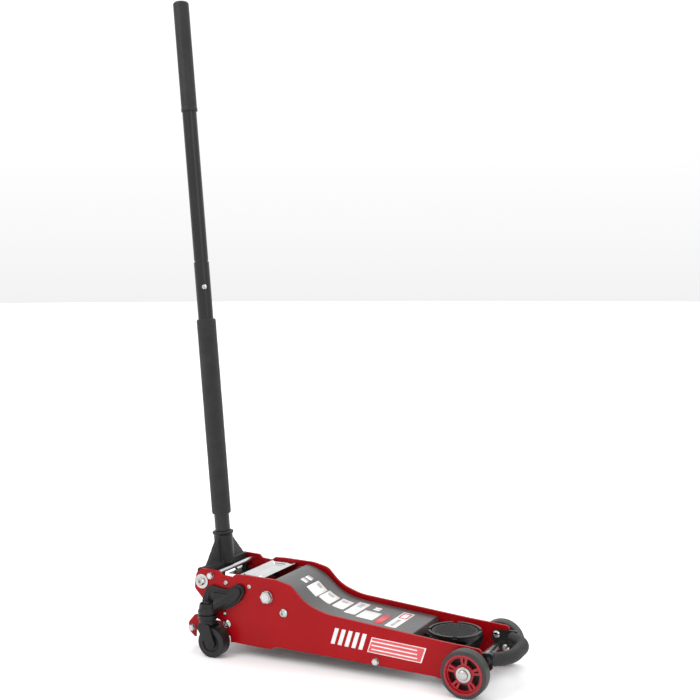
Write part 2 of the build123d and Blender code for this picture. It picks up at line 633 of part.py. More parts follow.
def link_pin():
    pin = rod_y(CARRIER_LINK_PIVOT, LINK_PIN_R, -76.5, 76.5)
    ends = [rod_y(CARRIER_LINK_PIVOT, 8.5, y0, y0 + 1.6) for y0 in (-78.1, 76.5)]
    return pin + ends[0] + ends[1]


# ---------------------------------------------------------------- ram and pump
def ram_head():
    """Crosshead whose upright slot drives the crank pin."""
    x = CRANK_PIN[0]
    head = block(x - 15, x + 15, -16, 16, RAM_Z - 17, RAM_Z + 17)
    head = chamfer(head.edges().filter_by(Axis.Y), 5)
    slot_half = CRANK_PIN_R + 0.6
    slot = block(x - slot_half, x + slot_half, -17, 17, RAM_Z - 4.2, RAM_Z + 4.2)
    for dz in (-4.2, 4.2):
        slot = slot + rod_y((x, RAM_Z + dz), slot_half, -17, 17)
    return head - slot


def pump_plunger():
    """Plunger pushed by the roller under the yoke, with a round head."""
    head_x = -281.6
    head = lathe([(0, 0), (8.0, 0), (9.5, 1.2), (9.5, 4.5), (0, 4.5)], (head_x, 0, PUMP_Z), (1, 0, 0))
    return head + rod_x(0, PUMP_Z, PLUNGER_R, head_x + 4.5, -236)


def release_valve():
    """Spindle with a flange and a slotted top that the handle linkage turns."""
    stem = rod_z(-236, 26, 6.0, 104, 118.3) + rod_z(-236, 26, 9.0, 118.3, 123) + rod_z(-236, 26, 6.5, 123, 140)
    return stem - block(-240, -232, 24, 28, 130, 141)


# ---------------------------------------------------------------- yoke and handle (handle frame)
HANDLE_FRAME = Location((YOKE_PIVOT[0], 0, YOKE_PIVOT[1]), (0, -LEAN, 0))
ROLLER = (YOKE_PIVOT[0] - 11.0, YOKE_PIVOT[1] - 22.0 * math.cos(math.radians(30)))


def upright(radius, w0, w1):
    """Cylinder on the handle axis between two heights, in the handle frame."""
    return rod((HANDLE_U, 0, w0), (HANDLE_U, 0, w1), radius)


def yoke_casting():
    """Flared casting: a web over two pivot ears, a handle socket, a collar and the cam cheeks."""
    flare = [(1, -74, 24), (1, 74, 24), (1, 21, 81), (1, -21, 81)]
    web = extrude(Face(Wire.make_polygon(flare, close=True)), amount=10, dir=(1, 0, 0))
    foot = block(-4, 14, -74, 74, 10, 28)
    ears = None
    for side in (-1, 1):
        y0, y1 = sorted((side * 66, side * 77))
        ear = slab(outline([(-14, 26, 4), (14, 26, 4), (14, 6, 5), (10, -14, 9), (-12, -14, 9), (-16, 6, 5)]), y0, y1)
        ear = ear + rod_y((0, 0), 16.5, y0, y1)
        ears = ear if ears is None else ears + ear
    casting = web + foot + ears + upright(20.0, 20, COLLAR_W)
    casting = casting + rod_y((-6, 15.5), 7.0, -66.5, 66.5)
    collar = lathe([(17.0, COLLAR_W - 2), (21.0, COLLAR_W - 2), (22.5, COLLAR_W), (22.5, COLLAR_W + 3),
                    (21.0, COLLAR_W + 5), (17.0, COLLAR_W + 5)], (HANDLE_U, 0, 0), (0, 0, 1))
    casting = casting + collar
    casting = casting - upright(TUBE_R + FIT, 46, 130)
    casting = casting - rod_y((0, 0), 8.0 + FIT, -80, 80)
    placed = HANDLE_FRAME * casting
    cheeks = None
    for side in (-1, 1):
        y0, y1 = sorted((side * 8, side * 13))
        top = (YOKE_PIVOT[0] - 7.5, YOKE_PIVOT[1] + 14)
        cheek = link_shape(top, ROLLER, 7.0, 6.0, y0, y1)
        cheeks = cheek if cheeks is None else cheeks + cheek
    placed = placed + cheeks
    return placed - rod_y(ROLLER, 3.0 + FIT, -20, 20)


def pump_roller():
    """Cam roller with its pin."""
    return rod_y(ROLLER, 7.0, -7.7, 7.7) + rod_y(ROLLER, 3.0, -14.5, 14.5)


def lower_tube():
    tube = upright(TUBE_R, 46.5, JOINT_W) - upright(BORE_R, 49, JOINT_W + 1)
    direction = lock_direction()
    hole = rod((HANDLE_U, 0, LOCK_W), shifted3((HANDLE_U, 0, LOCK_W), direction, 20), 3.0 + FIT)
    return HANDLE_FRAME * (tube - hole)


def lock_direction():
    """Unit vector from the handle axis out through the lock screw."""
    turn = math.radians(-50)
    return (math.cos(turn), math.sin(turn), 0)


def shifted3(point, direction, distance):
    return tuple(p + d * distance for p, d in zip(point, direction))


def lock_screw():
    """Clamp screw in the lower tube, shown backed off so that its tip stays in the tube wall."""
    axis_point, direction = (HANDLE_U, 0, LOCK_W), lock_direction()
    shank = rod(shifted3(axis_point, direction, BORE_R + 0.3), shifted3(axis_point, direction, TUBE_R + 0.3), 3.0)
    head = lathe([(0, 0), (5.2, 0), (5.2, 1.4), (3.6, 3.0), (0, 3.6)],
                 shifted3(axis_point, direction, TUBE_R + 0.3), direction)
    return HANDLE_FRAME * (shank + head)


def foam_sleeve():
    profile = [(TUBE_R + FIT, FOAM_W[0]), (18.8, FOAM_W[0]), (20.3, FOAM_W[0] + 3), (20.3, FOAM_W[1] - 3),
               (18.8, FOAM_W[1]), (TUBE_R + FIT, FOAM_W[1])]
    return HANDLE_FRAME * lathe(profile, (HANDLE_U, 0, 0), (0, 0, 1))


def upper_tube():
    """Upper section with a swaged spigot that slides in the lower tube."""
    profile = [(11.6, JOINT_W - 82), (13.2, JOINT_W - 82), (BORE_R - FIT, JOINT_W - 80), (BORE_R - FIT, JOINT_W + 0.3),
               (14.6, JOINT_W + 3), (UPPER_R, JOINT_W + 6), (UPPER_R, TOP_W - 4), (12.4, TOP_W - 4),
               (12.4, JOINT_W + 6), (11.6, JOINT_W)]
    return HANDLE_FRAME * lathe(profile, (HANDLE_U, 0, 0), (0, 0, 1))


def grip():
    """Closed-end hand grip with a low rib at its mouth."""
    low, top = GRIP_W
    profile = [(UPPER_R + FIT, low), (16.8, low), (17.2, low + 1.5), (17.2, low + 6), (16.5, low + 7.5),
               (16.5, top - 5), (15.4, top - 1.4), (12.5, top), (0, top), (0, top - 3.9), (UPPER_R + FIT, top - 3.9)]
    return HANDLE_FRAME * lathe(profile, (HANDLE_U, 0, 0), (0, 0, 1))


# ---------------------------------------------------------------- assembly
def build():
    sided("side_plate", side_plate())
    group("tie_rods", [tie_rod(at) for at in TIE_RODS])
    group("tie_rod_nuts", [s for at in TIE_RODS for s in both(tie_rod_nut(at))])
    single("arm_shaft", arm_shaft())
    group("arm_shaft_nuts", both(shaft_nut()))
    group("level_link_studs", both(level_stud()))
    group("yoke_pivot_bolts", both(yoke_bolt()))
    single("front_axle", rod_y(AXLE, AXLE_R, -116.6, 116.6))
    group("front_axle_caps", [s for piece in axle_cap() for s in both(piece)])

    tabs = both(bumper_tab())
    core = bent_bar(CORE_R, BUMPER_START) + tabs[0] + tabs[1]
    single("bumper_bar", core)
    sleeve = bent_bar(BUMPER_R, BUMPER_START) - bent_bar(CORE_R + FIT, BUMPER_START)
    for side in (-1, 1):
        y0, y1 = sorted((side * (GAP_HALF - 6.3), side * (GAP_HALF + 0.3)))
        sleeve = sleeve - block(300, 352.3, y0, y1, 30, 80.3)
    single("bumper_sleeve", sleeve.solids().sort_by(SortBy.VOLUME)[-1])
    group("bumper_bolts", [s for at in BUMPER_BOLTS for s in both(bumper_bolt(at))])

    single("power_unit_block", unit_block())
    group("reservoir_shell", [reservoir(), filler_plug()])
    single("ram_cylinder", ram_cylinder())
    single("pump_barrel", pump_barrel())
    unit_bolts = [bolt(at, head, 4.5, shank, -PLATE_OUT, -60) for at, head, shank in UNIT_BOLTS]
    unit_bolts += [bolt(at, head, 3.0, shank, -PLATE_OUT, -74) for at, head, shank in COVER_SCREWS]
    group("power_unit_bolts", [s for b in unit_bolts for s in both(b)])
    single("cover_plate", cover_plate())
    group("cover_screws", [cover_screw(y) for y in (-45.0, 45.0)])
    single("rear_shroud", rear_shroud())
    group("caster_guards", both(caster_guard()))

    sided("caster_bracket", caster_bracket())
    group("caster_bracket_bolts", [s for at in BRACKET_BOLTS for s in both(bracket_bolt(at))])
    group("caster_kingpins", both(kingpin()))
    sided("caster_fork", caster_fork())
    sided("caster_wheel", caster_wheel())
    sided("front_rim", front_rim())
    group("front_tyre_right", front_tyre())
    group("front_tyre_left", [mirrored(piece) for piece in front_tyre()])

    sided("arm_plate", arm_plate())
    single("arm_cover", arm_cover())
    hub = rod_y(ARM_PIVOT, 17.0, -ARM_IN, ARM_IN) - rod_y(ARM_PIVOT, SHAFT_R + FIT, -70, 70)
    single("arm_hub_tube", hub)
    group("ram_crank", both(crank_plate()) + [rod_y(CRANK_PIN, CRANK_PIN_R, -50, 50)])
    single("arm_cross_tube", rod_y((60, 82), 11.0, -ARM_IN, ARM_IN) - rod_y((60, 82), 8.0, -70, 70))
    single("carrier_pivot_pin", carrier_pin())

    single("saddle_carrier", saddle_carrier())
    single("saddle_cup", saddle_cup())
    single("saddle_pad", saddle_pad())
    sided("level_link", level_link())
    single("level_link_pin", link_pin())

    single("ram_rod", rod_x(0, RAM_Z, RAM_R, -246, CRANK_PIN[0] - 15))
    single("ram_head", ram_head())
    single("pump_plunger", pump_plunger())
    single("release_valve", release_valve())
    single("pump_spring", coil((-276.4, 0, PUMP_Z), (1, 0, 0), 9.0, 1.4, 5, 28.2))
    anchor, reach = BLOCK_FRONT + 1.2, CRANK_PIN[0] - CRANK_PIN_R - BLOCK_FRONT - 2.4
    group("arm_return_springs", [coil((anchor, y, CRANK_PIN[1]), (1, 0, 0), 4.6, 1.6, 14, reach)
                                 for y in (-44.0, 44.0)])

    single("yoke_casting", yoke_casting())
    single("pump_roller", pump_roller())
    single("handle_lower_tube", lower_tube())
    single("handle_foam_sleeve", foam_sleeve())
    single("handle_lock_screw", lock_screw())
    single("handle_upper_tube", upper_tube())
    single("handle_grip", grip())


build()
os.makedirs("parts", exist_ok=True)
for part_name, shape in PARTS.items():
    export_step(shape, f"parts/{part_name}.step")
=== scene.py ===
"""Looks of the low-profile trolley jack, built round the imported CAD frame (metres, jack lowered)."""
import math

import bmesh
import bpy
from mathutils import Matrix, Vector, noise
from mathutils.bvhtree import BVHTree


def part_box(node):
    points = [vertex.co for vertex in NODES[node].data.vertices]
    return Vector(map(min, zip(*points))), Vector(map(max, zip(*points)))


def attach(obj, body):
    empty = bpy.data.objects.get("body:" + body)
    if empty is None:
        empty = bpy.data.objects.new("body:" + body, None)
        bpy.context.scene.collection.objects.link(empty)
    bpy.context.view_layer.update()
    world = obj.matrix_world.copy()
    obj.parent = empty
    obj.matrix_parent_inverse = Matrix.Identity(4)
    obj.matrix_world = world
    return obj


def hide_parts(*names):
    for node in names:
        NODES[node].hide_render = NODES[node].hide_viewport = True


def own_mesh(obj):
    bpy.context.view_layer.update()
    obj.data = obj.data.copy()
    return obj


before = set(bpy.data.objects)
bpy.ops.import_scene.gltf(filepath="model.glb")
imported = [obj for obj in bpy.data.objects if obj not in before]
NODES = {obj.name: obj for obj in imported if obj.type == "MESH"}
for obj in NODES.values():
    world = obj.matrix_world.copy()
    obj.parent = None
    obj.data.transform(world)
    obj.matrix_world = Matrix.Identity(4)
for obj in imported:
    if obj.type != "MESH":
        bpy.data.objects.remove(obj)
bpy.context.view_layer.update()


# ---------------------------------------------------------------- places taken from the frame
def centre(node):
    low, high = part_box(node)
    return (low + high) / 2


HANDLE_LEAN = math.radians(4.745)   # to the rear, with the handle upright
HANDLE_TOP_W = 1.207                # height of the top along the handle, from the yoke pivot
GRIP_R = 0.0165


def handle_line():
    """Top point and unit direction of the handle axis, from the box of the grip."""
    low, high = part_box("handle_grip")
    direction = Vector((-math.sin(HANDLE_LEAN), 0, math.cos(HANDLE_LEAN)))
    top = Vector((low.x + GRIP_R * math.cos(HANDLE_LEAN), 0, high.z - GRIP_R * math.sin(HANDLE_LEAN)))
    return top, direction


TOP, UP = handle_line()


def on_handle(w):
    """Point of the handle axis at a height along it."""
    return TOP + UP * (w - HANDLE_TOP_W)


# ---------------------------------------------------------------- shader building
class Graph:
    """A Principled material with short calls for the nodes that drive it."""

    def __init__(self, name, color, rough, metal=0.0, **sockets):
        self.name = name
        self.mat = bpy.data.materials.new("look_" + name)
        self.mat.use_nodes = True
        self.tree = self.mat.node_tree
        self.bsdf = self.tree.nodes["Principled BSDF"]
        self.mat.diffuse_color = (*color, 1)
        self.bsdf.inputs["Base Color"].default_value = (*color, 1)
        self.bsdf.inputs["Roughness"].default_value = rough
        self.bsdf.inputs["Metallic"].default_value = metal
        for key, value in sockets.items():
            self.bsdf.inputs[key.replace("_", " ")].default_value = value
        self.coords = self.tree.nodes.new("ShaderNodeTexCoord").outputs["Object"]
        self.height = None

    def link(self, a, b):
        self.tree.links.new(a, b)

    def place(self, scale=(1, 1, 1), turn=(0, 0, 0)):
        """Object coordinates, stretched and turned."""
        node = self.tree.nodes.new("ShaderNodeMapping")
        node.inputs["Scale"].default_value = scale
        node.inputs["Rotation"].default_value = turn
        self.link(self.coords, node.inputs["Vector"])
        return node.outputs["Vector"]

    def noise(self, scale, detail=3.0, rough=0.5, where=None):
        node = self.tree.nodes.new("ShaderNodeTexNoise")
        node.inputs["Scale"].default_value = scale
        node.inputs["Detail"].default_value = detail
        node.inputs["Roughness"].default_value = rough
        self.link(where or self.coords, node.inputs["Vector"])
        return node.outputs["Fac"]

    def cells(self, scale):
        node = self.tree.nodes.new("ShaderNodeTexVoronoi")
        node.inputs["Scale"].default_value = scale
        self.link(self.coords, node.inputs["Vector"])
        return node.outputs["Distance"]

    def ramp(self, source, *stops):
        """Colour ramp from (position, colour) stops; a colour may be one grey number."""
        node = self.tree.nodes.new("ShaderNodeValToRGB")
        ramp = node.color_ramp
        while len(ramp.elements) < len(stops):
            ramp.elements.new(0.5)
        for element, (at, value) in zip(ramp.elements, stops):
            element.position = at
            element.color = (value, value, value, 1) if isinstance(value, (int, float)) else (*value, 1)
        self.link(source, node.inputs["Fac"])
        return node.outputs["Color"]

    def span(self, source, low, high):
        """Source moved from 0..1 to low..high."""
        node = self.tree.nodes.new("ShaderNodeMapRange")
        node.inputs["To Min"].default_value = low
        node.inputs["To Max"].default_value = high
        self.link(source, node.inputs["Value"])
        return node.outputs["Result"]

    def color(self, socket):
        self.link(socket, self.bsdf.inputs["Base Color"])
        return self

    def rough(self, socket):
        self.link(socket, self.bsdf.inputs["Roughness"])
        return self

    def bump(self, socket, distance, strength=1.0):
        """Bump of a real height in metres, laid over any earlier one."""
        node = self.tree.nodes.new("ShaderNodeBump")
        node.inputs["Distance"].default_value = distance
        node.inputs["Strength"].default_value = strength
        self.link(socket, node.inputs["Height"])
        if self.height is not None:
            self.link(self.height, node.inputs["Normal"])
        self.height = node.outputs["Normal"]
        self.link(self.height, self.bsdf.inputs["Normal"])
        return self


def painted(name, base, dark, light, rough, metal=0.0, coat=0.0, coat_rough=0.05, shine=0.5):
    """Sprayed paint: slow colour drift, orange peel and faint rubbed streaks."""
    peel = 0.00004
    g = Graph(name, base, rough, metal, Coat_Weight=coat, Coat_Roughness=coat_rough,
              Specular_IOR_Level=shine)
    drift = g.noise(9.0, 4.0)
    g.color(g.ramp(drift, (0.25, dark), (0.5, base), (0.8, light)))
    rub = g.noise(60.0, 6.0, 0.7, g.place((1.0, 1.0, 5.0), (0.0, 0.35, 0.0)))
    g.rough(g.span(rub, rough * 0.75, rough * 1.3))
    g.bump(g.noise(900.0, 2.0), peel)
    return g


def cast(name, base, light, rough):
    """Painted sand casting: fine grain over broader waves, with a slow colour drift."""
    grain, scale = 0.00012, 700.0
    g = Graph(name, base, rough, Specular_IOR_Level=0.3)
    g.color(g.ramp(g.noise(14.0, 5.0), (0.3, base), (0.8, light)))
    g.rough(g.span(g.noise(120.0, 4.0), rough * 0.8, rough * 1.25))
    g.bump(g.noise(scale, 4.0, 0.6), grain)
    g.bump(g.noise(90.0, 2.0), grain * 2.0)
    return g


def metal(name, base, light, rough, stretch=(1, 1, 1), grain=0.00002, scale=1500.0):
    """Plated or ground metal with fine directional marks."""
    g = Graph(name, base, rough, 1.0)
    g.color(g.ramp(g.noise(35.0, 4.0), (0.3, base), (0.75, light)))
    marks = g.noise(scale, 3.0, 0.6, g.place(stretch))
    g.rough(g.span(marks, rough * 0.7, rough * 1.5))
    g.bump(marks, grain)
    return g


def soft(name, base, light, rough, pore, depth, sheen=0.0):
    """Rubber or foam: fine pores and a dusty colour drift."""
    g = Graph(name, base, rough, Sheen_Weight=sheen, Sheen_Roughness=0.6, Specular_IOR_Level=0.3)
    g.color(g.ramp(g.noise(40.0, 5.0, 0.6), (0.3, base), (0.8, light)))
    g.rough(g.span(g.noise(200.0, 3.0), rough * 0.88, min(1.0, rough * 1.1)))
    g.bump(g.cells(pore), depth)
    g.bump(g.noise(pore * 0.4, 3.0), depth * 0.7)
    return g


RED = painted("paint_red", (0.29, 0.0015, 0.004), (0.26, 0.001, 0.003), (0.32, 0.003, 0.006), 0.34,
              coat=0.06, coat_rough=0.12, shine=0.12)
# Lighter red for the bevelled edges of the plates and guards: a painted highlight that stands in for the
# light caught by the rounded edges.
RED_EDGE_HIGHLIGHT = painted("paint_red_edge_highlight", (0.36, 0.008, 0.012), (0.32, 0.006, 0.010), (0.42, 0.02, 0.025), 0.3,
                   coat=0.15, coat_rough=0.15)
ARM_GREY = painted("paint_arm_grey", (0.092, 0.089, 0.091), (0.082, 0.079, 0.081),
                   (0.104, 0.101, 0.103), 0.33, metal=0.65, coat=0.06, coat_rough=0.2)
# Lighter grey for the bevelled edges of the arm cover: a painted highlight that stands in for the light
# caught by the rounded edges.
ARM_EDGE_HIGHLIGHT = painted("paint_arm_edge_highlight", (0.13, 0.127, 0.13), (0.11, 0.107, 0.11), (0.17, 0.165, 0.17), 0.38,
                   metal=0.5)
BLACK = painted("paint_black", (0.010, 0.010, 0.011), (0.008, 0.008, 0.009), (0.014, 0.014, 0.015), 0.28,
                shine=0.35)
CAST_BLACK = cast("cast_black", (0.005, 0.005, 0.006), (0.011, 0.010, 0.011), 0.38)
CAST_GREY = cast("cast_grey", (0.10, 0.10, 0.105), (0.17, 0.165, 0.165), 0.5)
ZINC = metal("zinc_plate", (0.36, 0.36, 0.37), (0.56, 0.55, 0.52), 0.15)
STEEL = metal("ground_steel", (0.5, 0.5, 0.52), (0.62, 0.62, 0.63), 0.26, (1, 12, 1))
LID = metal("pressed_sheet", (0.52, 0.52, 0.53), (0.62, 0.62, 0.62), 0.10, (14, 1, 1), 0.000004, 900.0)
RUBBER = soft("rubber_black", (0.011, 0.011, 0.012), (0.020, 0.019, 0.019), 0.62, 1600.0, 0.00003)
BUMPER = soft("bumper_rubber", (0.011, 0.011, 0.012), (0.021, 0.020, 0.020), 0.5, 1500.0, 0.00003)
TYRE = soft("tyre_polymer", (0.028, 0.027, 0.027), (0.042, 0.040, 0.039), 0.5, 1800.0, 0.00002)
RIM = painted("rim_red", (0.27, 0.002, 0.008), (0.24, 0.002, 0.006), (0.31, 0.005, 0.012), 0.26,
              coat=0.25, coat_rough=0.08, shine=0.3)
PLASTIC = soft("caster_plastic", (0.008, 0.008, 0.009), (0.015, 0.015, 0.016), 0.42, 1400.0, 0.00002)
FOAM = soft("grip_foam", (0.012, 0.012, 0.013), (0.024, 0.023, 0.023), 0.82, 900.0, 0.00016, 0.08)
GRIP = soft("grip_vinyl", (0.013, 0.013, 0.014), (0.023, 0.022, 0.022), 0.5, 1200.0, 0.00005)
LABEL_WHITE = painted("label_white", (0.80, 0.79, 0.78), (0.76, 0.75, 0.74), (0.84, 0.83, 0.83), 0.35)
LABEL_RED = painted("label_red", (0.58, 0.06, 0.07), (0.55, 0.05, 0.06), (0.62, 0.08, 0.09), 0.35)
LABEL_GREY = painted("label_grey", (0.40, 0.39, 0.39), (0.36, 0.35, 0.35), (0.44, 0.43, 0.43), 0.4)
LABEL_SILVER = metal("label_silver", (0.62, 0.62, 0.64), (0.80, 0.80, 0.80), 0.3, (1, 1, 8))


# ---------------------------------------------------------------- finishing helpers
def dress(node, graph, edge=None):
    """Give a CAD node one material, and a second one for its bevelled edges; that second one is a lighter
    copy of the paint, a painted edge highlight.
    """
    obj = NODES[node]
    obj.data.materials.clear()
    obj.data.materials.append(graph.mat)
    if edge is not None:
        obj.data.materials.append(edge.mat)
    return obj


WELD_GAP = 0.00001
SHARP_ANGLE = 32.0


def soften(obj, width, segments=2, edge=False, merge=0.6):
    """Weld the CAD facets, merge those within an angle and round the edges by a real width."""
    weld = obj.modifiers.new("weld", "WELD")
    weld.merge_threshold = WELD_GAP
    flat = obj.modifiers.new("flat", "DECIMATE")
    flat.decimate_type = "DISSOLVE"
    flat.angle_limit = math.radians(merge)
    bevel = obj.modifiers.new("bevel", "BEVEL")
    bevel.limit_method = "ANGLE"
    bevel.angle_limit = math.radians(SHARP_ANGLE)
    bevel.width = width
    bevel.segments = segments
    bevel.use_clamp_overlap = True
    bevel.harden_normals = False
    # The bevel faces take the second material, the lighter paint that is a painted edge highlight.
    if edge:
        bevel.material = 1
    shade = obj.modifiers.new("shade", "WEIGHTED_NORMAL")
    shade.mode = "FACE_AREA"
    shade.keep_sharp = False
    return obj


def mesh_object(name, verts, faces, graph, body, smooth=True):
    """New piece from points and faces, riding on a body."""
    data = bpy.data.meshes.new(name)
    data.from_pydata([tuple(v) for v in verts], [], faces)
    data.validate()
    work = bmesh.new()
    work.from_mesh(data)
    bmesh.ops.recalc_face_normals(work, faces=work.faces)
    work.to_mesh(data)
    work.free()
    data.materials.append(graph.mat)
    for polygon in data.polygons:
        polygon.use_smooth = smooth
    obj = bpy.data.objects.new(name, data)
    bpy.context.scene.collection.objects.link(obj)
    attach(obj, body)
    return obj


def tube_rings(rings, closed_ends=True):
    """Points and faces of a tube from equal rings; the ends are closed by flat faces."""
    count = len(rings[0])
    verts = [p for ring in rings for p in ring]
    faces = []
    for i in range(len(rings) - 1):
        for j in range(count):
            k = (j + 1) % count
            faces.append((i * count + j, i * count + k, (i + 1) * count + k, (i + 1) * count + j))
    if closed_ends:
        faces.append(tuple(range(count))[::-1])
        faces.append(tuple((len(rings) - 1) * count + j for j in range(count)))
    return verts, faces


def recast(node, body, graph, name, voxel, smooth, ratio):
    """Stand-in for a casting: its CAD shape with every edge and corner melted to a cast radius."""
    source = NODES[node]
    copy = bpy.data.objects.new(name + "_work", source.data.copy())
    bpy.context.scene.collection.objects.link(copy)
    remesh = copy.modifiers.new("remesh", "REMESH")
    remesh.mode = "VOXEL"
    remesh.voxel_size = voxel
    relax = copy.modifiers.new("relax", "SMOOTH")
    relax.factor = 0.5
    relax.iterations = smooth
    thin = copy.modifiers.new("thin", "DECIMATE")
    thin.ratio = ratio
    bpy.context.view_layer.update()
    melted = copy.evaluated_get(bpy.context.evaluated_depsgraph_get())
    data = bpy.data.meshes.new_from_object(melted)
    data.name = name
    bpy.data.objects.remove(copy)
    data.materials.clear()
    data.materials.append(graph.mat)
    for polygon in data.polygons:
        polygon.use_smooth = True
        polygon.material_index = 0
    obj = bpy.data.objects.new(name, data)
    bpy.context.scene.collection.objects.link(obj)
    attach(obj, body)
    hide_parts(node)
    return obj


# ---------------------------------------------------------------- CAD nodes that keep their shape
def dress_cad():
    for side in ("left", "right"):
        soften(dress(f"side_plate_{side}", RED, RED_EDGE_HIGHLIGHT), 0.0009, 3, edge=True)
        soften(dress(f"arm_plate_{side}", ARM_GREY), 0.0006)
        soften(dress(f"level_link_{side}", BLACK), 0.0005)
        soften(dress(f"caster_wheel_{side}", PLASTIC), 0.0005)
        soften(dress(f"front_rim_{side}", RIM), 0.0007)
        soften(dress(f"front_tyre_{side}", TYRE), 0.0008)
    soften(dress("arm_cover", ARM_GREY, ARM_EDGE_HIGHLIGHT), 0.0008, 3, edge=True, merge=0.05)
    for node in ("tie_rods", "arm_shaft", "front_axle", "carrier_pivot_pin", "level_link_pin", "ram_rod",
                 "ram_cylinder", "pump_plunger", "pump_roller", "pump_barrel", "release_valve"):
        soften(dress(node, STEEL), 0.0004)
    for node in ("tie_rod_nuts", "arm_shaft_nuts", "level_link_studs", "yoke_pivot_bolts", "bumper_bolts",
                 "power_unit_bolts", "cover_screws", "handle_lock_screw"):
        soften(dress(node, ZINC), 0.0003)
    for node in ("power_unit_block", "ram_head"):
        soften(dress(node, CAST_GREY), 0.0008)
    for node in ("caster_kingpins", "caster_bracket_bolts", "ram_crank", "arm_hub_tube", "handle_lower_tube",
                 "handle_upper_tube"):
        soften(dress(node, BLACK), 0.0004)
    for node, graph, width in (("front_axle_caps", ZINC, 0.0006), ("rear_shroud", BLACK, 0.0003),
                               ("reservoir_shell", BLACK, 0.001), ("bumper_bar", BLACK, 0.0006),
                               ("arm_cross_tube", ARM_GREY, 0.0005), ("saddle_carrier", CAST_BLACK, 0.001),
                               ("saddle_cup", CAST_BLACK, 0.0007)):
        soften(dress(node, graph), width)
    soften(dress("caster_guards", RED, RED_EDGE_HIGHLIGHT), 0.0004, edge=True)
    dress("arm_return_springs", STEEL)


# ---------------------------------------------------------------- castings
def castings():
    recast("yoke_casting", "yoke", CAST_BLACK, "yoke_cast", 0.0011, 5, 0.45)
    for side in ("left", "right"):
        recast(f"caster_bracket_{side}", "chassis", CAST_BLACK, f"caster_bracket_cast_{side}",
               0.0008, 5, 0.45)
        recast(f"caster_fork_{side}", f"fork_{side}", CAST_BLACK, f"caster_fork_cast_{side}", 0.0006, 3, 0.5)


# ---------------------------------------------------------------- handle sleeves
def around(axis_point, radius_at, count):
    """One ring about the handle axis."""
    side = Vector((0, 1, 0))
    front = side.cross(UP).normalized()
    ring = []
    for j in range(count):
        turn = 2 * math.pi * j / count
        radius = radius_at(turn)
        ring.append(axis_point + front * (radius * math.cos(turn)) + side * (radius * math.sin(turn)))
    return ring


def ripple(turn, w, about, along):
    """Smooth uneven value of 0 to 1, by the angle about the handle and the height along it."""
    return abs(noise.noise(Vector((math.cos(turn) * about, math.sin(turn) * about, w * along))))


def foam_sleeve():
    """Foam tube with rolled ends and the slight waves of stretched foam."""
    low, high, outer, inner = 0.126, 0.540, 0.0203, 0.01605
    count, steps = 56, 150
    roll, plain_below = 0.004, 0.0185
    wave, crinkle = 0.00032, 0.00022
    rolled = ((0.0, 0.0178), (0.0006, 0.0188), (0.0018, 0.0196), (roll, outer))
    stations = [(low, inner)] + [(low + w, radius) for w, radius in rolled]
    stations += [(low + roll + (high - low - 2 * roll) * i / steps, outer) for i in range(1, steps)]
    stations += [(high - w, radius) for w, radius in reversed(rolled)] + [(high, inner)]
    rings = []
    for w, radius in stations:
        def radius_at(turn, w=w, radius=radius):
            if radius < plain_below:
                return radius
            return radius - wave * ripple(turn, w, 1.6, 38) - crinkle * ripple(turn, w, 7, 260)
        rings.append(around(on_handle(w), radius_at, count))
    verts, faces = tube_rings(rings, closed_ends=False)
    last = (len(rings) - 1) * count
    faces += [(j, (j + 1) % count, last + (j + 1) % count, last + j) for j in range(count)]
    obj = mesh_object("foam_sleeve", verts, faces, FOAM, "handle")
    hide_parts("handle_foam_sleeve")


def hand_grip():
    """Closed-end vinyl grip with a rounded crown, mouth bead and faint draw waves."""
    low, top, bore = 0.977, HANDLE_TOP_W, 0.01505
    count, steps, crown_steps = 48, 60, 8
    crown, wall, plain_below, wave = 0.006, 0.0039, 0.0160, 0.00010
    bead = ((0.0, 0.0163), (0.0004, 0.0168), (0.0014, 0.01715), (0.003, 0.0172), (0.0055, 0.0172),
            (0.0068, 0.01695), (0.0076, GRIP_R))
    neck = bead[-1][0]
    stations = [(low, bore)] + [(low + w, radius) for w, radius in bead]
    stations += [(low + neck + (top - low - neck - crown) * i / steps, GRIP_R) for i in range(1, steps + 1)]
    for i in range(1, crown_steps + 1):
        turn = math.pi / 2 * i / crown_steps
        stations.append((top - crown + crown * math.sin(turn), GRIP_R - crown + crown * math.cos(turn)))
    stations += [(top, 0.007), (top, 0.0035)]
    rings = [around(on_handle(top - wall), lambda turn: bore, count)]
    for w, radius in stations:
        def radius_at(turn, w=w, radius=radius):
            if radius < plain_below:
                return radius
            return radius - wave * ripple(turn, w, 1.2, 30)
        rings.append(around(on_handle(w), radius_at, count))
    verts, faces = tube_rings(rings)
    obj = mesh_object("hand_grip", verts, faces, GRIP, "handle_upper")
    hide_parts("handle_grip")


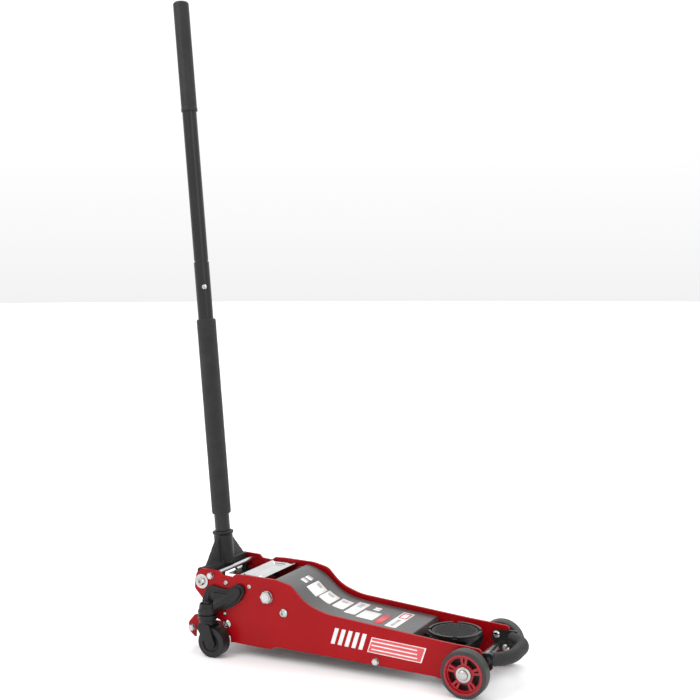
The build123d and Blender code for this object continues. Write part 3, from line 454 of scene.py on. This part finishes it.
# ---------------------------------------------------------------- bumper sleeve
def bumper_sleeve():
    """Ribbed rubber hose bent round the bumper core."""
    low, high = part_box("bumper_sleeve")
    z = (low.z + high.z) / 2
    outer = (high.z - low.z) / 2
    bend, half, start_x = 0.060, 0.075, 0.338
    corner_x, flat = high.x - outer - bend, half - bend
    first = math.asin((start_x - corner_x) / bend)
    arc = bend * (math.pi / 2 - first)
    total = 2 * arc + 2 * flat

    def path(s):
        """Point and outward normal at a length along the sleeve."""
        if s < arc:
            turn = first + s / bend
            radial = Vector((math.sin(turn), -math.cos(turn), 0))
            return Vector((corner_x, -flat, z)) + radial * bend, radial
        if s > arc + 2 * flat:
            turn = math.pi / 2 - (s - arc - 2 * flat) / bend
            radial = Vector((math.sin(turn), math.cos(turn), 0))
            return Vector((corner_x, flat, z)) + radial * bend, radial
        return Vector((corner_x + bend, -flat + (s - arc), z)), Vector((1, 0, 0))

    pitch, per_rib, count = 0.0030, 8, 56
    rib_depth, clear, lip_length, lip_depth = 0.00055, 0.0001, 0.0025, 0.0016
    ribs = int(total / pitch)
    steps = ribs * per_rib
    rings = []
    for i in range(steps + 1):
        s = total * i / steps
        point, radial = path(s)
        phase = (i % per_rib) / per_rib
        groove = rib_depth * (0.5 - 0.5 * math.cos(2 * math.pi * phase)) ** 3
        lip = max(0.0, lip_length - min(s, total - s)) / lip_length
        radius = outer - clear - groove - lip_depth * lip ** 2
        ring = []
        for j in range(count):
            turn = 2 * math.pi * j / count
            ring.append(point + radial * (radius * math.cos(turn)) + Vector((0, 0, radius * math.sin(turn))))
        rings.append(ring)
    verts, faces = tube_rings(rings)
    obj = mesh_object("ribbed_sleeve", verts, faces, BUMPER, "chassis")
    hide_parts("bumper_sleeve")


# ---------------------------------------------------------------- saddle pad
def saddle_pad():
    """Round rubber pad covered with small pyramid studs."""
    low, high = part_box("saddle_pad")
    middle = centre("saddle_pad")
    stud, pitch, foot, crown = 0.0013, 0.0058, 0.0025, 0.0013
    edge, margin, sink, count = 0.0006, 0.0042, 0.0002, 72
    radius, base = (high.x - low.x) / 2, high.z - stud
    rings = []
    for r, z in ((radius, low.z), (radius, base - edge), (radius - edge, base)):
        rings.append([Vector((middle.x + r * math.cos(2 * math.pi * j / count),
                              middle.y + r * math.sin(2 * math.pi * j / count), z)) for j in range(count)])
    verts, faces = tube_rings(rings)

    def diagonal(u, v):
        """The studs stand in rows turned by 45 degrees."""
        return (u - v) * math.sqrt(0.5), (u + v) * math.sqrt(0.5)

    reach = int(radius / pitch) + 1
    for i in range(-reach, reach + 1):
        for j in range(-reach, reach + 1):
            x, y = diagonal(i * pitch, j * pitch)
            if math.hypot(x, y) > radius - margin:
                continue
            start = len(verts)
            for half, z in ((foot, base - sink), (crown, high.z)):
                for du, dv in ((-half, -half), (half, -half), (half, half), (-half, half)):
                    px, py = diagonal(du, dv)
                    verts.append(Vector((middle.x + x + px, middle.y + y + py, z)))
            for k in range(4):
                m = (k + 1) % 4
                faces.append((start + k, start + m, start + 4 + m, start + 4 + k))
            faces.append((start + 4, start + 5, start + 6, start + 7))
            faces.append((start + 3, start + 2, start + 1, start))
    obj = mesh_object("studded_pad", verts, faces, RUBBER, "saddle", smooth=False)
    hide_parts("saddle_pad")


def pump_coil():
    """The plunger spring as a steel coil riding on the chassis; the real spring closes up towards the pump
    block as the handle is pumped.
    """
    data = NODES["pump_spring"].data.copy()
    data.name = "pump_coil"
    data.materials.clear()
    data.materials.append(STEEL.mat)
    for polygon in data.polygons:
        polygon.use_smooth = True
    obj = bpy.data.objects.new("pump_coil", data)
    bpy.context.scene.collection.objects.link(obj)
    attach(obj, "chassis")
    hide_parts("pump_spring")
    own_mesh(obj)


# ---------------------------------------------------------------- lid
def smooth_step(t):
    t = max(0.0, min(1.0, t))
    return t * t * (3 - 2 * t)


def pressed_lid():
    """Thin bright lid with a deep rounded emboss, a rolled front edge and a bent rear flange."""
    rear, front, half, thick, inset = -0.200, -0.1425, 0.0784, 0.0012, 0.0012
    half_x, half_y, corner = 0.0240, 0.0640, 0.010
    rise_high, rise_wide = 0.0016, 0.0040
    dish_deep, dish_from, dish_wide = 0.0042, 0.0065, 0.0060
    steps, rows = 60, 118
    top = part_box("cover_plate")[1].z - rise_high

    def emboss(x, y):
        """Height over the flat sheet: a raised rim with rounded corners round a dished middle."""
        dx, dy = abs(x - (rear + front) / 2) - (half_x - corner), abs(y) - (half_y - corner)
        outside = math.hypot(max(dx, 0), max(dy, 0)) + min(max(dx, dy), 0) - corner
        rise = smooth_step(-outside / rise_wide)
        return rise_high * rise - dish_deep * smooth_step((-outside - dish_from) / dish_wide)

    flange = [(-0.217, -0.0137), (-0.2165, -0.0131), (-0.2085, -0.0066), (-0.2012, -0.0008), (-0.2, 0.0)]
    sheet = [(rear + inset + (front - rear - 2 * inset) * i / steps, None) for i in range(steps + 1)]
    lip = [(front - 0.0004, -0.0001), (front, -0.0004)]
    stations = flange + sheet + lip
    verts, faces = [], []
    for layer in (0, 1):
        for x, drop in stations:
            for j in range(rows + 1):
                y = -half + 2 * half * j / rows
                z = top + (emboss(x, y) if drop is None else drop) - layer * thick
                verts.append(Vector((x, y, z)))
    width = rows + 1
    block = len(stations) * width
    for layer in (0, 1):
        for i in range(len(stations) - 1):
            for j in range(rows):
                a = layer * block + i * width + j
                faces.append((a, a + 1, a + width + 1, a + width))
    for j in range(rows):
        faces.append((j, j + 1, block + j + 1, block + j))
        a = (len(stations) - 1) * width + j
        faces.append((a, a + 1, block + a + 1, block + a))
    for i in range(len(stations) - 1):
        for j in (0, rows):
            a = i * width + j
            faces.append((a, a + width, block + a + width, block + a))
    obj = mesh_object("pressed_lid", verts, faces, LID, "chassis")
    soft_edges(obj, 40)
    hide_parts("cover_plate")


def soft_edges(obj, degrees):
    """Mark edges sharper than an angle, so that the shading breaks there."""
    work = bmesh.new()
    work.from_mesh(obj.data)
    limit = math.radians(degrees)
    for edge in work.edges:
        if len(edge.link_faces) == 2 and edge.calc_face_angle() > limit:
            edge.smooth = False
    work.to_mesh(obj.data)
    work.free()


# ---------------------------------------------------------------- labels
def surface_tree(node):
    data = NODES[node].data
    return BVHTree.FromPolygons([v.co for v in data.vertices], [tuple(p.vertices) for p in data.polygons])


COVER_TREE = surface_tree("arm_cover")


ABOVE_COVER = 0.3
PANEL_LIFT, PRINT_LIFT, TOP_PRINT_LIFT = 0.00045, 0.00055, 0.00065


def cover_height(x):
    """Height of the arm cover's upper face on the centre line."""
    hit = COVER_TREE.ray_cast(Vector((x, 0, ABOVE_COVER)), Vector((0, 0, -1)))
    return hit[0].z


def cover_label(name, x0, x1, y0, y1, graph, lift=PANEL_LIFT):
    """Thin sticker lying on the arm cover between two stations."""
    columns, reach, cover_end, cut_corner, sink = 14, 0.001, 0.176, 0.0012, 0.0001
    verts, faces = [], []
    for i in range(columns + 1):
        x = x0 + (x1 - x0) * i / columns
        slope = (cover_height(min(x + reach, cover_end)) - cover_height(x - reach)) / (2 * reach)
        normal = Vector((-slope, 0, 1)).normalized()
        base = Vector((x, 0, cover_height(x)))
        inset = cut_corner if i in (0, columns) else 0.0
        for y in (y0 + inset, y1 - inset):
            for rise in (-sink, lift):
                verts.append(base + normal * rise + Vector((0, y, 0)))
    for i in range(columns):
        a, b = 4 * i, 4 * (i + 1)
        faces += [(a + 1, a + 3, b + 3, b + 1), (a, a + 1, b + 1, b), (a + 2, b + 2, b + 3, a + 3),
                  (a, b, b + 2, a + 2)]
    faces += [(0, 2, 3, 1), (4 * columns, 4 * columns + 1, 4 * columns + 3, 4 * columns + 2)]
    return mesh_object(name, verts, faces, graph, "lift_arm")


def cover_labels():
    """Blank panels in the places of the arm stickers, with plain bars in place of their print."""
    panels = [("panel_a", -0.0655, -0.0435, -0.024, 0.028), ("panel_b", -0.042, -0.0175, -0.0155, 0.034),
              ("panel_c", -0.0125, 0.0125, -0.0155, 0.039), ("panel_d", 0.019, 0.044, -0.026, 0.052),
              ("panel_e", 0.0495, 0.0865, -0.034, 0.014), ("panel_g", 0.118, 0.1425, -0.0475, 0.052)]
    for name, x0, x1, y0, y1 in panels:
        cover_label(name, x0, x1, y0, y1, LABEL_WHITE)
    cover_label("panel_f", 0.0925, 0.1078, -0.043, 0.0155, LABEL_RED)
    for place, y0 in (("near", -0.0150), ("far", 0.0050)):
        cover_label(f"badge_{place}", -0.0850, -0.0715, y0, y0 + 0.0170, LABEL_SILVER)
    cover_label("panel_d_bar", 0.0265, 0.0365, 0.020, 0.044, LABEL_GREY, PRINT_LIFT)
    for tag, x0, x1 in (("a", -0.0655, -0.0435), ("b", -0.042, -0.0175), ("c", -0.0125, 0.0125)):
        y0 = {"a": 0.012, "b": 0.016, "c": 0.020}[tag]
        cover_label(f"panel_{tag}_bar", x0 + 0.004, x1 - 0.009, y0, y0 + 0.010, LABEL_GREY, PRINT_LIFT)
    cover_label("panel_g_frame", 0.1215, 0.139, 0.012, 0.047, LABEL_RED, PRINT_LIFT)
    cover_label("panel_g_core", 0.1245, 0.136, 0.016, 0.043, LABEL_WHITE, TOP_PRINT_LIFT)
    cover_label("panel_g_bar", 0.1265, 0.134, -0.040, 0.004, LABEL_GREY, PRINT_LIFT)
    for i, y0 in enumerate((0.026, 0.0365)):
        cover_label(f"panel_h_{i}", 0.060, 0.074, y0, y0 + 0.0075, LABEL_WHITE)


def plate_flash(side):
    """Generic slanted silver and red bars on the outside of a side plate."""
    sign = -1 if side == "right" else 1
    low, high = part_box(f"side_plate_{side}")
    face = low.y if side == "right" else high.y
    sink, silver_rise, red_rise, line_rise = 0.0002, 0.00018, 0.00030, 0.00042
    slope, level_x = -0.055, 0.02

    def bar(name, corners, graph, rise):
        verts = [Vector((x, face - sign * sink, z)) for x, z in corners]
        verts += [Vector((x, face + sign * rise, z)) for x, z in corners]
        n = len(corners)
        faces = [tuple(range(n)), tuple(range(n, 2 * n))]
        faces += [(i, (i + 1) % n, n + (i + 1) % n, n + i) for i in range(n)]
        mesh_object(f"{name}_{side}", verts, faces, graph, "chassis", smooth=False)

    def slanted(x0, x1, z0, z1, lean):
        drop0, drop1 = slope * (x0 - level_x), slope * (x1 - level_x)
        return [(x0, z0 + drop0), (x1, z0 + drop1), (x1 + lean, z1 + drop1), (x0 + lean, z1 + drop0)]

    for i in range(5):
        x0 = 0.020 + 0.0150 * i
        bar(f"flash_short_{i}", slanted(x0, x0 + 0.0085, 0.056, 0.088, 0.010), LABEL_SILVER, silver_rise)
    bar("flash_long_edge", slanted(0.099, 0.2125, 0.0545, 0.0845, 0.010), LABEL_SILVER, silver_rise)
    bar("flash_long_face", slanted(0.1012, 0.2103, 0.0560, 0.0830, 0.0090), LABEL_RED, red_rise)
    for i in range(3):
        z0 = 0.0605 + 0.0078 * i
        bar(f"flash_line_{i}", slanted(0.108, 0.2035, z0, z0 + 0.0024, 0.0008), LABEL_SILVER, line_rise)


# ---------------------------------------------------------------- studio
def studio():
    """Pale floor, soft white surround and three soft lights."""
    view = bpy.context.scene.view_settings
    view.view_transform = "Standard"
    world = bpy.data.worlds.new("studio")
    bpy.context.scene.world = world
    world.use_nodes = True
    tree = world.node_tree
    back = tree.nodes["Background"]
    room = tree.nodes.new("ShaderNodeTexCoord")

    def sweep(direction, stops):
        """Brightness that depends on the angle to a fixed direction of the room."""
        dot = tree.nodes.new("ShaderNodeVectorMath")
        dot.operation = "DOT_PRODUCT"
        dot.inputs[1].default_value = direction
        tree.links.new(room.outputs["Generated"], dot.inputs[0])
        share = tree.nodes.new("ShaderNodeMapRange")
        share.inputs["From Min"].default_value = -1.0
        tree.links.new(dot.outputs["Value"], share.inputs["Value"])
        ramp = tree.nodes.new("ShaderNodeValToRGB")
        elements = ramp.color_ramp.elements
        for at, value in stops:
            if 0 < at < 1:
                element = elements.new(at)
            else:
                element = elements[0 if at == 0 else -1]
            element.color = (value, value, value, 1)
        tree.links.new(share.outputs["Result"], ramp.inputs["Fac"])
        return ramp.outputs["Color"]

    away, up = (-0.439, 0.898, 0.0), (0.0, 0.0, 1.0)
    wall = sweep(away, ((0.0, 0.62), (0.25, 1.0), (0.55, 0.38), (0.78, 0.5), (0.94, 1.0), (1.0, 1.0)))
    fade = sweep(up, ((0.0, 1.0), (0.612, 0.42), (0.65, 0.42), (1.0, 1.0)))
    ceiling = sweep(up, ((0.0, 0.0), (0.70, 1.0), (1.0, 1.0)))
    lower = tree.nodes.new("ShaderNodeMath")
    lower.operation = "MULTIPLY"
    tree.links.new(wall, lower.inputs[0])
    tree.links.new(fade, lower.inputs[1])
    both = tree.nodes.new("ShaderNodeMath")
    both.operation = "MAXIMUM"
    tree.links.new(lower.outputs[0], both.inputs[0])
    tree.links.new(ceiling, both.inputs[1])
    tree.links.new(both.outputs[0], back.inputs["Color"])
    back.inputs["Strength"].default_value = 1.28

    floor = bpy.data.meshes.new("floor")
    count, reach = 96, 30
    verts = [(0, 0, 0)]
    for i in range(count):
        turn = 2 * math.pi * i / count
        verts.append((reach * math.cos(turn), reach * math.sin(turn), 0))
    faces = [(0, i + 1, (i + 1) % count + 1) for i in range(count)]
    floor.from_pydata(verts, [], faces)
    paper = Graph("paper_floor", (0.96, 0.96, 0.96), 0.85)
    paper.color(paper.ramp(paper.noise(2.0, 2.0), (0.3, 0.955), (0.7, 0.965)))
    floor.materials.append(paper.mat)
    obj = bpy.data.objects.new("floor", floor)
    bpy.context.scene.collection.objects.link(obj)

    def lamp(name, at, aim, size, watts):
        data = bpy.data.lights.new(name, "AREA")
        data.shape = "RECTANGLE"
        data.size, data.size_y = size
        data.energy = watts
        lit = bpy.data.objects.new(name, data)
        lit.location = at
        lit.rotation_euler = (Vector(aim) - Vector(at)).to_track_quat("-Z", "Y").to_euler()
        bpy.context.scene.collection.objects.link(lit)

    lamp("key", (-1.2, -2.2, 2.4), (0, 0, 0.3), (1.6, 1.2), 24)
    lamp("fill", (2.4, -1.4, 1.6), (0, 0, 0.3), (1.4, 1.4), 8)
    lamp("top", (-0.2, 1.2, 2.8), (0, 0, 0.1), (1.8, 1.0), 16)


def photo_camera():
    """Camera at the reference view: long lens, turned 26 degrees and tipped slightly down."""
    place = Vector((1.05339, -2.10985, 0.78135))
    look = Vector((-0.438067, 0.896563, -0.065359))
    right = Vector((0.898543, 0.438880, -0.002114))
    data = bpy.data.cameras.new("camera")
    data.sensor_width = 36.0
    data.lens = 60.720
    cam = bpy.data.objects.new("camera", data)
    axes = Matrix((right, right.cross(look), -look)).transposed()
    cam.matrix_world = Matrix.Translation(place) @ axes.to_4x4()
    data.clip_start, data.clip_end = 0.05, 100
    bpy.context.scene.collection.objects.link(cam)
    bpy.context.scene.camera = cam


# ---------------------------------------------------------------- all of it
dress_cad()
castings()
foam_sleeve()
hand_grip()
bumper_sleeve()
saddle_pad()
pump_coil()
pressed_lid()
cover_labels()
for plate_side in ("right", "left"):
    plate_flash(plate_side)
studio()
photo_camera()
bpy.context.view_layer.update()
